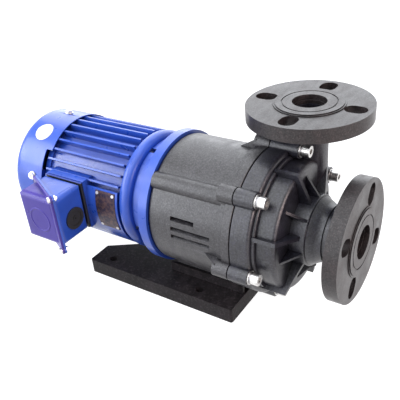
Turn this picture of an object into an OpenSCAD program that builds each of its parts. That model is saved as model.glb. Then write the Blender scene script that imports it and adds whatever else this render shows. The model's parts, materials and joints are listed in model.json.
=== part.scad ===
// Magnetic drive pump: a flanged plastic wet end on a bracket, driven by a finned motor.
// Millimetres. +X runs along the shaft towards the suction flange and +Z is up.
// The origin is the centre of the four foot holes, on the floor.
// Angles about the shaft are counted from +Y towards +Z.

/* [Layout] */
// Height of the shaft axis above the floor
shaft_h = 115; // [113:1:125]
// Motor flange face ahead of the foot holes' centre
motor_face_x = 25; // [20:1:30]
// Running clearance between a turning shaft and its seat
running_gap = 0.05; // [0.02:0.01:0.1]
// Clearance between fixed pieces that fit into each other
fit_gap = 0.05; // [0.02:0.01:0.1]

/* [Ports] */
// Outside diameter of both flanges
flange_d = 140; // [136:1:150]
// Thickness of both flanges
flange_t = 16; // [14:1:20]
// Diameter of the raised gasket face
raised_d = 79; // [70:1:82]
// Height of the raised gasket face
raised_h = 2; // [1:0.5:3]
// Bore of both flanges
port_d = 38; // [36:1:40]
// Length of that bore, down to its first step
port_l = 6; // [5:0.5:8]
// Bore of the casing behind the flanges
throat_d = 31; // [28:1:32]
// Outside diameter of the nozzle end inside a flange
nozzle_d = 46; // [44:1:50]
// Circle through the middle of the flange slots
slot_pcd = 104; // [102:1:106]
// Width of a flange slot
slot_w = 19; // [17:1:20]
// Length of a flange slot, end to end
slot_l = 25; // [22:1:26]
// Turn of the suction flange's slots from upright, towards the far side
suction_turn = 25; // [0:1:45]
// Discharge axis behind the suction flange face
discharge_back = 83; // [81:1:85]
// Discharge axis towards the far side
discharge_y = 48; // [47:1:50]
// Discharge flange face above the shaft axis
discharge_h = 127; // [122:1:140]
// Outside diameter of the discharge pipe
pipe_d = 43; // [40:1:45]

/* [Wet end] */
// Length of the bracket from the motor flange to the casing
bracket_l = 111; // [109:1:120]
// Outside diameter of the bracket drum
bracket_d = 159; // [156:1:162]
// Wall of the bracket drum
bracket_wall = 7; // [5:0.5:8]
// Thickness of the bracket's rear wall
bracket_back_t = 10; // [8:1:12]
// Width of the thick band at the bracket's front
band_w = 17; // [14:1:18]
// Thickness of that band above the drum
band_h = 2.5; // [1.5:0.5:4]
// Outside diameter of the casing's clamping rim
casing_d = 170; // [166:1:172]
// Length of the clamping rim
rim_l = 24; // [22:1:28]
// Outside diameter of the volute drum
volute_d = 148; // [144:1:150]
// Length of the volute drum
volute_l = 24.5; // [22:0.5:28]
// Outside diameter of the collar
collar_d = 82; // [79:1:86]
// Length of the collar
collar_l = 18.5; // [17:0.5:21]
// Length of the cone between collar and neck
shoulder_l = 11; // [9:0.5:12]
// Outside diameter of the suction neck
neck_d = 62; // [58:1:66]
// Length of the suction neck
neck_l = 21; // [19:1:26]
// Circle through the casing bolts
bolt_circle_d = 171; // [170:1:174]
// Angle of the first casing bolt
bolt_phase = 15.5; // [15:0.5:17]
// Thread diameter of the casing bolts
bolt_d = 8; // [6:1:8]
// Diameter of a bolt boss
boss_d = 20; // [18:1:21]
// Length of a bolt boss on the bracket
boss_l = 19; // [16:1:22]
// Extra length of the boss beside the discharge pipe, below it
pipe_boss_far = 20; // [16:1:22]
// Extra length of the boss beside the discharge pipe, above it
pipe_boss_near = 10.5; // [8:0.5:12]
// Thickness of the main ribs of the casing
rib_t = 4.5; // [3.5:0.5:6]
// Thickness of the small gussets on the collar
gusset_t = 3; // [2.5:0.5:4]

/* [Magnetic drive] */
// Inside diameter of the containment shell
can_d = 76; // [74:1:78]
// Wall of the containment shell
can_wall = 4; // [3:0.5:5]
// Length of the containment shell behind its flange
can_l = 70; // [66:1:72]
// Diameter of the fixed spindle
spindle_d = 16; // [14:1:17]
// Diameter of the impeller
impeller_d = 116; // [108:1:118]
// Number of impeller vanes
vane_count = 6; // [5:1:7]
// Number of magnets on each half of the coupling
magnet_count = 8; // [6:2:10]
// Length of the magnets
magnet_l = 40; // [34:1:42]

/* [Motor] */
// Diameter of the motor's round flange
ring_d = 166; // [162:1:172]
// Thickness of that flange
ring_t = 12; // [10:1:14]
// Diameter of the groove behind the flange
groove_d = 136; // [132:1:140]
// Width of the groove
groove_l = 20; // [18:1:22]
// Diameter of the rounded shoulder of the end shield
shoulder_d = 153; // [150:1:156]
// Width of the rounded shoulder
shoulder_w = 18; // [16:1:20]
// Length of the finned frame
frame_l = 121; // [118:1:130]
// Diameter over the fins
frame_d = 151; // [148:1:154]
// Height of the fins
fin_h = 9; // [7:0.5:9.5]
// Thickness of a fin at its tip
fin_t = 2.4; // [2:0.2:3]
// Number of fins
fin_count = 27; // [24:1:28]
// Angle of the plain side without fins
plain_span = 76.5; // [74:0.5:80]
// Angle of the lowest fin on the near side
fin_first = 153; // [152:0.5:154]
// Wall of the frame under the fins
frame_wall = 6.5; // [5.5:0.5:7.5]
// Room for the windings between the stator core and each end of the frame
winding_room = 25.5; // [25:0.5:27]
// Diameter of the motor shaft in its bearings
shaft_d = 20; // [19:1:20]
// Gap between the fins and the fan cover around them
cover_gap = 0.3; // [0.2:0.1:0.6]
// Length of the fan cover
cover_l = 65; // [62:1:70]
// Sheet thickness of the fan cover
cover_wall = 1.2; // [1:0.1:1.4]
// Overlap of the fan cover over the fins
cover_overlap = 4; // [3:1:5]

/* [Terminal box] */
// Length of the box along the shaft
box_l = 61; // [58:1:63]
// Height of the box
box_h = 66; // [62:1:68]
// Depth of the box away from the motor
box_depth = 48; // [45:1:50]
// Middle of the box above the shaft axis
box_rise = 2; // [0:1:4]
// How far the box's seat stands out of the motor frame
seat_proud = 0.8; // [0.5:0.1:2]
// Rear end of the box ahead of the frame's rear end
box_ahead = 11; // [11:1:14]
// Sheet thickness of the box
box_wall = 1.6; // [1.2:0.1:2]
// Edge radius of the box
box_r = 8; // [6:1:9]
// How far the seam lip stands out
lip_h = 5.5; // [4.5:0.5:6]
// Thickness of one seam lip
lip_t = 2.6; // [2:0.2:3]
// Thickness of the gasket
gasket_t = 3; // [2:0.5:4]

/* [Base] */
// Width of the base
base_w = 138; // [134:1:145]
// Base behind the foot holes' centre
base_back = 98; // [94:1:104]
// Base ahead of the foot holes' centre
base_front = 124; // [122:1:127]
// Height of the base's edge
base_t = 20; // [18:1:22]
// Foot holes along the shaft, hole to hole
foot_dx = 140; // [134:1:146]
// Foot holes across the shaft, hole to hole
foot_dy = 107; // [104:1:112]
// Diameter of a foot hole
foot_hole_d = 11; // [9:1:12]
// Wall and rib thickness under the base
base_wall = 7; // [5:0.5:9]
// Bottom of the bracket's foot below the shaft axis
foot_drop = 82; // [81:0.5:83]
// Width of the bracket's foot
foot_w = 74; // [72:1:80]
// Height of the recess that runs round the bottom of the foot
foot_recess_h = 4.5; // [3:0.5:6]

/* [Hidden] */
$fn = 96;

// Stations along the shaft, from the motor flange forwards
split_x = motor_face_x + bracket_l;
rim_x = split_x + rim_l;
volute_x = rim_x + volute_l;
collar_x = volute_x + collar_l;
neck_x = collar_x + shoulder_l;
flange_x = neck_x + neck_l;
suction_x = flange_x + flange_t;
discharge_x = suction_x - discharge_back;
discharge_z = shaft_h + discharge_h;
bracket_wall_x = motor_face_x + bracket_back_t;

// Stations along the shaft, from the motor flange backwards
ring_x = motor_face_x - ring_t;
shoulder_x = ring_x - groove_l;
frame_x = shoulder_x - shoulder_w;
frame_rear_x = frame_x - frame_l;
rear_shield_t = 8;
rear_shield_x = frame_rear_x - rear_shield_t;
cover_x = frame_rear_x + cover_overlap - cover_l;
core_l = frame_l - 2 * winding_room;
core_x = frame_x - winding_room - core_l;
fin_root_r = frame_d / 2 - fin_h;
stator_d = 2 * (fin_root_r - frame_wall);

// Fasteners
bolt_r = bolt_d / 2;
bolt_hole_r = bolt_r + fit_gap;
bolt_head_r = 0.81 * bolt_d;
bolt_head_h = bolt_d;
hex_key_r = 0.42 * bolt_d;
washer_r = bolt_d;
washer_t = 0.2 * bolt_d;
spring_washer_r = 0.85 * bolt_d;
spring_washer_t = 0.25 * bolt_d;
bolt_grip = boss_l - 3;
spot_r = washer_r + 0.4;
bolt_circle_r = bolt_circle_d / 2;
boss_fronts = [rim_x + pipe_boss_far, rim_x + pipe_boss_near, rim_x, rim_x, rim_x, rim_x];
bolt_count = len(boss_fronts);
ridge_bosses = [2, 5];
fin_bosses = [0, 1, 3];
fin_turns = [-5.5, 5.5, -5.5];
seam_w = 1.8;
seam_depth = 2;

// Nozzle seats inside the flanges
seat_depth = flange_t / 2;

// Containment shell and what turns inside it
can_r = can_d / 2;
can_outer_r = can_r + can_wall;
shell_flange_r = bracket_d / 2 - 5;
shell_flange_t = 6;
shell_x = split_x - shell_flange_t;
can_end_x = shell_x - can_l;
spindle_r = spindle_d / 2;
spindle_boss_l = 13;
spindle_boss_r = 14;
spindle_x = can_end_x + can_wall + 2;
thrust_t = 3;
bush_wall = 6;
bush_r = spindle_r + running_gap + bush_wall;
thrust_x = can_end_x + can_wall + spindle_boss_l;
side_gap = 0.5;
bush_x = thrust_x + thrust_t + side_gap;
capsule_r = can_r - 1.5;
capsule_skin = 1.5;
driven_magnet_t = 5;
capsule_x = bush_x + 1;
capsule_front_x = split_x - 10;
magnet_x = (capsule_x + capsule_front_x - magnet_l) / 2;
chamber_r = impeller_d / 2 + 4;
chamber_x = rim_x + 3;
back_shroud_x = split_x + 6;
shroud_t = 4;
vane_w = 10;
vane_t = 3.2;
front_shroud_x = back_shroud_x + shroud_t + vane_w;
eye_r = 19;
eye_wall = 4;
mouth_x = volute_x - 8;
liner_t = 4;
liner_l = 9;
liner_gap = 0.4;
spider_x = volute_x + 3;
spider_l = 11;
spider_t = 4;
spider_hub_r = spindle_r + 3;
spindle_front_x = spider_x + spider_l - 1;
inlet_r = eye_r + eye_wall;

// Drive magnets around the containment shell
drive_gap = 2.5;
drive_magnet_r = can_outer_r + drive_gap;
drive_magnet_t = 7;
yoke_r = drive_magnet_r + drive_magnet_t;
yoke_wall = 6;
yoke_floor_t = 8;
yoke_floor_x = can_end_x - 6 - yoke_floor_t;
hub_r = 19;
hub_x = motor_face_x + 5;
drive_end_r = shaft_d / 2 - 0.5;
key_w = 6;
key_h = 3;
shaft_end_x = yoke_floor_x + yoke_floor_t - 3;
end_screw_r = 3;
end_screw_head_r = 5;
end_screw_head_h = 3;
end_screw_depth = 14;
end_washer_t = 2;

// Bearings of the motor shaft
shaft_r = shaft_d / 2;
rotor_seat_r = shaft_r + 2;
race_depth = 1.6;
press_gap = 0.01;
bearing_or = shaft_r + 13.5;
bearing_w = 14;
ball_r = 4;
ball_pitch_r = (shaft_r + bearing_or) / 2;
ball_count = 8;
front_bearing_x = ring_x - 9 - bearing_w;
rear_bearing_x = rear_shield_x + 4;
bearing_xs = [front_bearing_x, rear_bearing_x];
hub_wall = 6;
seal_wall = 6;
seal_w = 5;
seal_r = shaft_r + seal_wall;
seal_x = ring_x - seal_w - 1;
air_gap = 0.5;
rotor_r = stator_d / 2 - 22;
bracket_bolt_pcd = 115;
spigot_r = 47.5;
spigot_h = 3;

// Cooling fan and its cover
cover_inner_r = frame_d / 2 + cover_gap;
cover_r = cover_inner_r + cover_wall;
cover_corner = 14;
fan_r = cover_inner_r - 13;
fan_l = 22;
fan_x = cover_x + 13;
fan_bore_r = shaft_r - 1.5;
fan_hub_r = 15;
cover_screw_x = frame_rear_x - 22;
cover_screw_angles = [82.5, 163.5, 262.5, 343.5];
cover_screw_l = 9;
cover_screw_head_r = 4.2;
cover_screw_head_h = 4;
cover_screw_rim_r = 5.5;
cover_screw_rim_t = 1;
cross_l = 5;
cross_w = 1.2;
cross_depth = 1.5;
screw_r = 2.5;
lug_w = 16;
lug_depth = 10;
rear_spigot_l = 4;
rear_spigot_wall = 6;
label_r = 13;
label_t = 0.25;
label_angle = 118;
label_x = frame_rear_x - 25;

// Terminal box
box_y = frame_d / 2 + seat_proud + gasket_t;
box_x0 = frame_rear_x + box_ahead;
box_x1 = box_x0 + box_l;
box_z = shaft_h + box_rise;
box_back_y = -box_y;
box_front_y = box_back_y - box_depth;
seam_side_y = box_back_y - 0.35 * box_depth;
seam_angle = atan2(box_front_y - seam_side_y, box_l);
seam_run = norm([box_l, box_front_y - seam_side_y]);
lead_hole_r = 9;
lead_drop = 16;
plug_r = 14;
plug_hub_r = plug_r - 3.5;
plug_lip_r = plug_hub_r + 0.5;
plug_lip_t = 2;
plug_head_t = 1.8;
plug_nub_r = 3;
plug_pilot_r = 1;
plug_y = box_front_y + 27;
plug_drop = 5;

// Base
pad_x0 = motor_face_x + 2;
pad_l = 88;
pad_z = shaft_h - foot_drop;
rail_x0 = motor_face_x - 9;
rail_l = base_front - 2 - rail_x0;
rail_w = 4;
foot_x0 = motor_face_x + 3;
foot_l = bracket_l - 12;
foot_recess = 4;
base_bolt_dx = 68;
base_bolt_dy = 56;
base_bolt_x = pad_x0 + pad_l / 2;
base_bolt_grip = 12;
base_corner = 3;
notch_mouth = 68;
notch_angle = 27;
notch_r = 10;
notch_round_x = -base_back + notch_mouth / 2 / tan(notch_angle) - notch_r / sin(notch_angle);
notch_end_x = notch_round_x + notch_r;

// Colours
plastic_black = [0.16, 0.15, 0.16];
flange_black = [0.22, 0.20, 0.20];
motor_blue = [0.12, 0.20, 0.62];
steel = [0.75, 0.75, 0.74];
dark_steel = [0.40, 0.40, 0.42];
rubber_black = [0.07, 0.07, 0.07];
ceramic_white = [0.92, 0.90, 0.86];
carbon_grey = [0.20, 0.20, 0.22];
magnet_grey = [0.48, 0.47, 0.46];
copper = [0.72, 0.42, 0.22];
brass = [0.80, 0.66, 0.34];
bronze_plate = [0.30, 0.20, 0.16];

// Shared shapes

// Turns its children about the shaft axis, so that their +Y points outwards at this angle
module about_shaft(angle = 0) {
  translate([0, 0, shaft_h]) rotate([angle, 0, 0]) children();
}

// Revolves a 2-D profile, drawn as [radius, x], about the shaft axis
module lathe() {
  about_shaft() rotate([0, 90, 0]) rotate_extrude() children();
}

// Solid drum about the shaft axis
module drum(x0, x1, r) {
  about_shaft() translate([x0, 0, 0]) rotate([0, 90, 0]) cylinder(h = x1 - x0, r = r);
}

// Plain ring about the shaft axis
module ring(x0, x1, outer_r, inner_r) {
  lathe() translate([inner_r, x0]) square([outer_r - inner_r, x1 - x0]);
}

// Part of a ring between two angles about the shaft axis
module ring_sector(x0, x1, outer_r, inner_r, from_angle, to_angle) {
  about_shaft() rotate([0, 90, 0]) rotate([0, 0, from_angle + 90])
    rotate_extrude(angle = to_angle - from_angle)
      translate([inner_r, x0]) square([outer_r - inner_r, x1 - x0]);
}

// Profile of a drum whose front edge is rounded
module round_edge_profile(x0, x1, r, edge) {
  translate([0, x0]) square([r - edge, x1 - x0]);
  translate([0, x0]) square([r, x1 - x0 - edge]);
  translate([r - edge, x1 - edge]) circle(edge);
}

// Rod parallel to the shaft, standing at a distance from it
module rod_at(x0, x1, distance, r) {
  translate([x0, distance, 0]) rotate([0, 90, 0]) cylinder(h = x1 - x0, r = r);
}

// Flat web in a plane through the shaft, drawn as [x, radius]
module web(angle, thickness, outline) {
  about_shaft(angle) translate([0, 0, -thickness / 2]) linear_extrude(thickness) polygon(outline);
}

// Bar along the shaft with a cross-section drawn as [outwards, sideways]
module bar_along(x0, x1) {
  translate([x0, 0, 0]) rotate([90, 0, 90]) linear_extrude(x1 - x0) children();
}

// Rectangle with rounded corners, from the origin
module round_rect(size, r) {
  translate([r, 0]) square([size.x - 2 * r, size.y]);
  translate([0, r]) square([size.x, size.y - 2 * r]);
  for (x = [r, size.x - r], y = [r, size.y - r]) translate([x, y]) circle(r);
}

// Places children at each casing bolt, with the boss's front as $boss_x
module at_casing_bolts() {
  for (i = [0 : bolt_count - 1]) {
    $boss_x = boss_fronts[i];
    about_shaft(bolt_phase + i * 360 / bolt_count) children();
  }
}

// Socket head cap screw along +X, its head's seat at x = 0
module cap_screw(r, length, head_r, head_h, key_r) {
  rotate([0, 90, 0]) difference() {
    union() {
      translate([0, 0, -length]) cylinder(h = length, r = r);
      cylinder(h = head_h, r = head_r);
    }
    translate([0, 0, head_h / 2]) cylinder(h = head_h, r = key_r, $fn = 6);
  }
}

// Base

module base_outline() {
  side_r = 0.95 * notch_r;
  side_x = notch_round_x - side_r * sin(notch_angle);
  side_y = side_r * cos(notch_angle);
  difference() {
    translate([-base_back, -base_w / 2]) round_rect([base_back + base_front, base_w], base_corner);
    translate([notch_round_x, 0]) circle(notch_r);
    polygon([
      [-base_back - 1, -notch_mouth / 2 - tan(notch_angle)], [side_x, -side_y],
      [side_x, side_y], [-base_back - 1, notch_mouth / 2 + tan(notch_angle)]
    ]);
  }
}

module at_foot_holes() {
  for (x = [-foot_dx / 2, foot_dx / 2], y = [-foot_dy / 2, foot_dy / 2]) translate([x, y, 0]) children();
}

module at_base_bolts() {
  for (x = [-base_bolt_dx / 2, base_bolt_dx / 2], y = [-base_bolt_dy / 2, base_bolt_dy / 2])
    translate([base_bolt_x + x, y, 0]) children();
}

base_bolt_seat = 10;

// Hollows under the base, between its outer wall, its ribs and the bosses round the holes
module base_pockets() {
  rib_xs = [pad_x0 + 6, base_bolt_x];
  pocket_x = notch_end_x + base_wall;
  translate([0, 0, -1]) linear_extrude(base_t - base_wall + 1) difference() {
    translate([pocket_x, -base_w / 2 + base_wall])
      square([base_front - base_wall - pocket_x, base_w - 2 * base_wall]);
    for (x = rib_xs) translate([x, 0]) square([base_wall, base_w], center = true);
    square([3 * base_front, base_wall], center = true);
    for (x = [-foot_dx / 2, foot_dx / 2], y = [-foot_dy / 2, foot_dy / 2])
      translate([x, y]) circle(foot_hole_d / 2 + base_wall);
    for (x = [-base_bolt_dx / 2, base_bolt_dx / 2], y = [-base_bolt_dy / 2, base_bolt_dy / 2])
      translate([base_bolt_x + x, y]) circle(bolt_head_r + base_wall);
  }
}

module base_plate() {
  color(plastic_black) difference() {
    union() {
      linear_extrude(base_t) base_outline();
      translate([pad_x0, -foot_w / 2, base_t]) cube([pad_l, foot_w, pad_z - base_t]);
      for (y = [-foot_w / 2, foot_w / 2 - rail_w])
        translate([rail_x0, y, base_t]) cube([rail_l, rail_w, pad_z - base_t]);
    }
    base_pockets();
    at_foot_holes() translate([0, 0, -1]) cylinder(h = base_t + 2, d = foot_hole_d);
    at_base_bolts() {
      translate([0, 0, -1]) cylinder(h = pad_z + 2, r = bolt_hole_r);
      translate([0, 0, -1]) cylinder(h = base_bolt_seat + 1, r = bolt_head_r + 1);
    }
  }
}

module base_bolts() {
  grip = pad_z - base_bolt_seat + base_bolt_grip;
  color(steel) at_base_bolts() translate([0, 0, base_bolt_seat]) rotate([0, 90, 0])
    cap_screw(bolt_r, grip, bolt_head_r, bolt_head_h, hex_key_r);
}

// Bracket

slit_w = 5.4;
slit_gap = 1.8;
slit_angles = [165.6, 174.7, 182];
slit_x0 = motor_face_x + 31.7;
slit_ls = [31.5, 52.5, 52];

// Vent slits: narrow inside, with a lower face that slopes out to the full width
module bracket_slits() {
  outer_r = bracket_d / 2;
  inner_r = outer_r - bracket_wall;
  top = -slit_w / 2;
  slope = (slit_w - slit_gap) / bracket_wall;
  for (i = [0 : len(slit_angles) - 1])
    about_shaft(slit_angles[i]) bar_along(slit_x0, slit_x0 + slit_ls[i])
      polygon([
        [inner_r - bracket_wall, top], [outer_r + 1, top], [outer_r + 1, slit_w / 2 + slope],
        [inner_r, top + slit_gap], [inner_r - bracket_wall, top + slit_gap]
      ]);
}

drum_edge = 4;
ridge_sink = 5;
ridge_turn = 2;
boss_fin_l = 20;
boss_fin_h = 5.5;

module bracket_body() {
  drum_r = bracket_d / 2;
  ridge_r = boss_d / 2 + 1;
  lathe() translate([0, motor_face_x + split_x]) mirror([0, 1])
    round_edge_profile(motor_face_x, split_x, drum_r, drum_edge);
  drum(split_x - band_w, split_x, drum_r + band_h);
  at_casing_bolts() rod_at(split_x - boss_l, split_x, bolt_circle_r, boss_d / 2);
  for (i = [0 : bolt_count - 1]) {
    angle = bolt_phase + i * 360 / bolt_count;
    if (len(search(i, ridge_bosses)) > 0)
      about_shaft(angle + ridge_turn)
        rod_at(motor_face_x + 1, split_x - boss_l / 2, drum_r - ridge_sink, ridge_r);
  }
  for (i = [0 : len(fin_bosses) - 1])
    web(bolt_phase + fin_bosses[i] * 360 / bolt_count + fin_turns[i], gusset_t, [
      [split_x - boss_l - boss_fin_l, drum_r - 2], [split_x - boss_l + 3, drum_r - 2],
      [split_x - boss_l + 3, bolt_circle_r + boss_fin_h]
    ]);
  bracket_foot();
}

module bracket_foot() {
  neck_w = foot_w - 2 * foot_recess;
  top_z = shaft_h - bracket_d / 4;
  shelf_z = pad_z + foot_recess_h;
  translate([foot_x0, -foot_w / 2, shelf_z]) cube([foot_l, foot_w, top_z - shelf_z]);
  translate([foot_x0, -neck_w / 2, pad_z]) cube([foot_l - foot_recess, neck_w, top_z - pad_z]);
}

module bracket() {
  inner_r = bracket_d / 2 - bracket_wall;
  color(plastic_black) difference() {
    bracket_body();
    drum(bracket_wall_x, split_x + 1, inner_r);
    drum(shell_x, split_x + 1, shell_flange_r + fit_gap);
    drum(motor_face_x - 1, bracket_wall_x + 1, spigot_r + fit_gap);
    at_casing_bolts() rod_at(split_x - bolt_grip - 1, split_x + 1, bolt_circle_r, bolt_hole_r);
    at_bracket_bolts() rod_at(motor_face_x - 1, bracket_wall_x + 1, bracket_bolt_pcd / 2, bolt_hole_r);
    at_base_bolts() translate([0, 0, pad_z - 1]) cylinder(h = base_bolt_grip + 2, r = bolt_hole_r);
    bracket_slits();
    mirror([0, 1, 0]) bracket_slits();
  }
}

module at_bracket_bolts() {
  for (i = [0 : 3]) about_shaft(45 + 90 * i) children();
}

module bracket_bolts() {
  color(steel) at_bracket_bolts() translate([bracket_wall_x, bracket_bolt_pcd / 2, 0])
    cap_screw(bolt_r, bracket_back_t + ring_t - 3, bolt_head_r, bolt_head_h, hex_key_r);
}

// Front casing

pipe_bottom_z = shaft_h + 8;

// Angles of the main ribs and of the small gussets from the first casing bolt
rib_turns = [30, 90, 148, 210, 270, 330];
gusset_turns = [0, 69.5, 120, 175, 240, 300];
rib_h = 6;
rib_root = 6;
rib_nose = 3;
rib_foot_l = 0.7 * collar_l;
gusset_rise = 22;

module casing_ribs() {
  rib_x = split_x + rim_l / 2;
  corner_x = volute_x + rib_nose;
  rib_r = volute_d / 2 + rib_h;
  collar_r = collar_d / 2;
  for (turn = rib_turns)
    web(bolt_phase + turn, rib_t, [
      [rib_x, collar_r - rib_root], [rib_x, rib_r], [corner_x, rib_r],
      [volute_x + rib_foot_l, collar_r - 1], [volute_x + rib_foot_l, collar_r - rib_root]
    ]);
  for (turn = gusset_turns)
    web(bolt_phase + turn, gusset_t, [
      [volute_x - 1, collar_r - rib_root], [volute_x - 1, collar_r + gusset_rise],
      [volute_x, collar_r + gusset_rise], [collar_x - 1, collar_r - 1], [collar_x - 1, collar_r - rib_root]
    ]);
}

module casing_outside() {
  step_h = 5;
  back_x = split_x - 1;
  seam_x = split_x + seam_w;
  lathe() {
    round_edge_profile(seam_x, rim_x, casing_d / 2, 4);
    translate([0, back_x]) square([(bracket_d + casing_d) / 4 - seam_depth, rim_l / 2]);
    round_edge_profile(back_x, rim_x + 3, volute_d / 2 + step_h, 2);
    round_edge_profile(back_x, volute_x, volute_d / 2, 5);
    round_edge_profile(back_x, collar_x, collar_d / 2, 2);
    polygon([[0, collar_x - 1], [collar_d / 2 - 2, collar_x], [neck_d / 2 + 2, neck_x], [0, neck_x]]);
    translate([0, neck_x - 1]) square([neck_d / 2, flange_x - neck_x + 1]);
    translate([0, neck_x]) square([neck_d / 2 + 2, 4]);
    translate([0, flange_x - 1]) square([nozzle_d / 2, seat_depth + 1]);
  }
  at_casing_bolts() {
    rod_at(seam_x - seam_w / 4, $boss_x, bolt_circle_r, boss_d / 2);
    rod_at(back_x, seam_x + 1, bolt_circle_r, boss_d / 2 - seam_depth);
  }
  translate([discharge_x, discharge_y, pipe_bottom_z])
    cylinder(h = discharge_z - flange_t - pipe_bottom_z, d = pipe_d);
  translate([discharge_x, discharge_y, discharge_z - flange_t - 8]) cylinder(h = 8, d = nozzle_d + 4);
  translate([discharge_x, discharge_y, discharge_z - flange_t - 1])
    cylinder(h = seat_depth + 1, d = nozzle_d);
  casing_ribs();
  drain_seat() cylinder(h = collar_d / 2 + 2, r = drain_r + 3);
}

module casing_inside() {
  drum(split_x - 3, split_x, casing_d);
  lathe() {
    translate([0, split_x - 1]) square([chamber_r, chamber_x - split_x + 1]);
    translate([0, chamber_x - 1]) square([liner_or() + fit_gap, mouth_x - chamber_x + 1]);
    translate([0, mouth_x - 1]) square([inlet_r, spider_x - mouth_x + 2]);
    translate([0, spider_x]) square([inlet_r, spider_l]);
    polygon([
      [0, spider_x + spider_l - 0.5], [inlet_r, spider_x + spider_l - 0.5],
      [throat_d / 2, neck_x], [0, neck_x]
    ]);
    translate([0, neck_x - 1]) square([throat_d / 2, suction_x - neck_x]);
  }
  translate([discharge_x, discharge_y, pipe_bottom_z + 2]) cylinder(h = discharge_h, d = throat_d);
  intersection() {
    drum(split_x + 7, chamber_x, volute_d / 2 - 6);
    translate([split_x, discharge_y - throat_d / 2, shaft_h]) cube([rim_l, throat_d, 50]);
  }
  at_casing_bolts() {
    rod_at(split_x - 1, $boss_x + 1, bolt_circle_r, bolt_hole_r);
    rod_at($boss_x, $boss_x + 40, bolt_circle_r, spot_r);
  }
  drain_seat() cylinder(h = collar_d / 2 + 10, r = drain_r + fit_gap);
}

function liner_or() = inlet_r + liner_gap + liner_t;

module casing_spider() {
  difference() {
    union() {
      drum(spider_x, spider_x + spider_l, spider_hub_r);
      for (i = [0 : 2])
        web(90 + 120 * i, spider_t, [
          [spider_x, spindle_r + 1], [spider_x, inlet_r + 1],
          [spider_x + spider_l - 1, inlet_r + 1], [spider_x + spider_l - 1, spindle_r + 1]
        ]);
    }
    drum(spider_x - 1, spindle_front_x + fit_gap, spindle_r + fit_gap);
  }
}

module front_casing() {
  color(plastic_black) {
    difference() {
      casing_outside();
      casing_inside();
    }
    casing_spider();
  }
}

drain_r = 4.5;
drain_head_r = 6.5;
drain_head_h = 5;
drain_x = volute_x + 9;
drain_seat_r = collar_d / 2 + 2;
drain_gasket_t = 1.5;

// Places children on the drain's axis, which leaves the shaft axis straight down
module drain_seat() {
  translate([drain_x, 0, shaft_h]) rotate([180, 0, 0]) children();
}

module drain_plug() {
  color(rubber_black) drain_seat() {
    translate([0, 0, inlet_r + 1]) cylinder(h = drain_seat_r - inlet_r - 1, r = drain_r);
    translate([0, 0, drain_seat_r - 1]) cylinder(h = drain_gasket_t + 1.5, r = drain_r);
    translate([0, 0, drain_seat_r + drain_gasket_t]) cylinder(h = drain_head_h, r = drain_head_r, $fn = 6);
  }
}

module drain_gasket() {
  color(carbon_grey) drain_seat() translate([0, 0, drain_seat_r]) difference() {
    cylinder(h = drain_gasket_t, r = drain_head_r - 0.5);
    translate([0, 0, -1]) cylinder(h = drain_gasket_t + 2, r = drain_r + fit_gap);
  }
}

raised_step = 2;
port_step = 1.7;

// Pipe flange standing on z = 0, its back face down
module pipe_flange() {
  groove_r = 0.76 * raised_d / 2;
  groove_half = 0.8;
  face_z = flange_t + raised_h;
  difference() {
    union() {
      cylinder(h = flange_t, d = flange_d);
      cylinder(h = flange_t + raised_h / 2, d = raised_d);
      cylinder(h = face_z, d = raised_d - 2 * raised_step);
    }
    translate([0, 0, -1]) cylinder(h = seat_depth + 1, d = nozzle_d + 2 * fit_gap);
    translate([0, 0, -1]) cylinder(h = face_z, d = port_d - 2 * port_step);
    translate([0, 0, face_z - port_l]) cylinder(h = port_l + 1, d = port_d);
    translate([0, 0, face_z - groove_half]) difference() {
      cylinder(h = 2, r = groove_r + groove_half);
      translate([0, 0, -1]) cylinder(h = 4, r = groove_r - groove_half);
    }
    for (i = [0 : 3]) rotate(90 * i) translate([slot_pcd / 2, 0, -1]) linear_extrude(flange_t + 2) {
      square([slot_l - slot_w, slot_w], center = true);
      for (s = [-1, 1]) translate([s * (slot_l - slot_w) / 2, 0]) circle(d = slot_w);
    }
  }
}

module suction_flange() {
  color(flange_black) about_shaft() translate([flange_x, 0, 0]) rotate([0, 90, 0])
    rotate(-suction_turn) pipe_flange();
}

module discharge_flange() {
  color(flange_black) translate([discharge_x, discharge_y, discharge_z - flange_t]) pipe_flange();
}

module casing_bolts() {
  color(steel) at_casing_bolts()
    translate([$boss_x + washer_t + spring_washer_t, bolt_circle_r, 0])
      cap_screw(bolt_r, $boss_x + washer_t + spring_washer_t - split_x + bolt_grip,
                bolt_head_r, bolt_head_h, hex_key_r);
}

// Washer under a casing bolt's head, in front of the boss
module bolt_washer(offset_x, outer_r, thickness) {
  translate([$boss_x + offset_x, bolt_circle_r, 0]) rotate([0, 90, 0]) difference() {
    cylinder(h = thickness, r = outer_r);
    translate([0, 0, -1]) cylinder(h = thickness + 2, r = bolt_hole_r);
  }
}

module casing_washers() {
  color(steel) at_casing_bolts() bolt_washer(0, washer_r, washer_t);
}

module casing_spring_washers() {
  color(dark_steel) at_casing_bolts() bolt_washer(washer_t, spring_washer_r, spring_washer_t);
}

// Rear casing and what it seals

o_ring_r = 1.4;
o_ring_pitch_r = chamber_r + 4;
o_ring_groove = 2 * o_ring_r + fit_gap;

module rear_casing() {
  color(plastic_black) difference() {
    union() {
      drum(shell_x, split_x, shell_flange_r);
      drum(can_end_x, shell_x + 1, can_outer_r);
    }
    difference() {
      drum(can_end_x + can_wall, split_x + 1, can_r);
      drum(can_end_x, thrust_x, spindle_boss_r);
    }
    drum(spindle_x, split_x, spindle_r + fit_gap);
    ring(split_x - o_ring_groove, split_x + 1, o_ring_pitch_r + 2, o_ring_pitch_r - 2);
  }
}

module casing_o_ring() {
  color(rubber_black) lathe() translate([o_ring_pitch_r, split_x - o_ring_r - fit_gap / 2]) circle(o_ring_r);
}

module spindle() {
  color(ceramic_white) drum(spindle_x, spindle_front_x, spindle_r);
}

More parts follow.
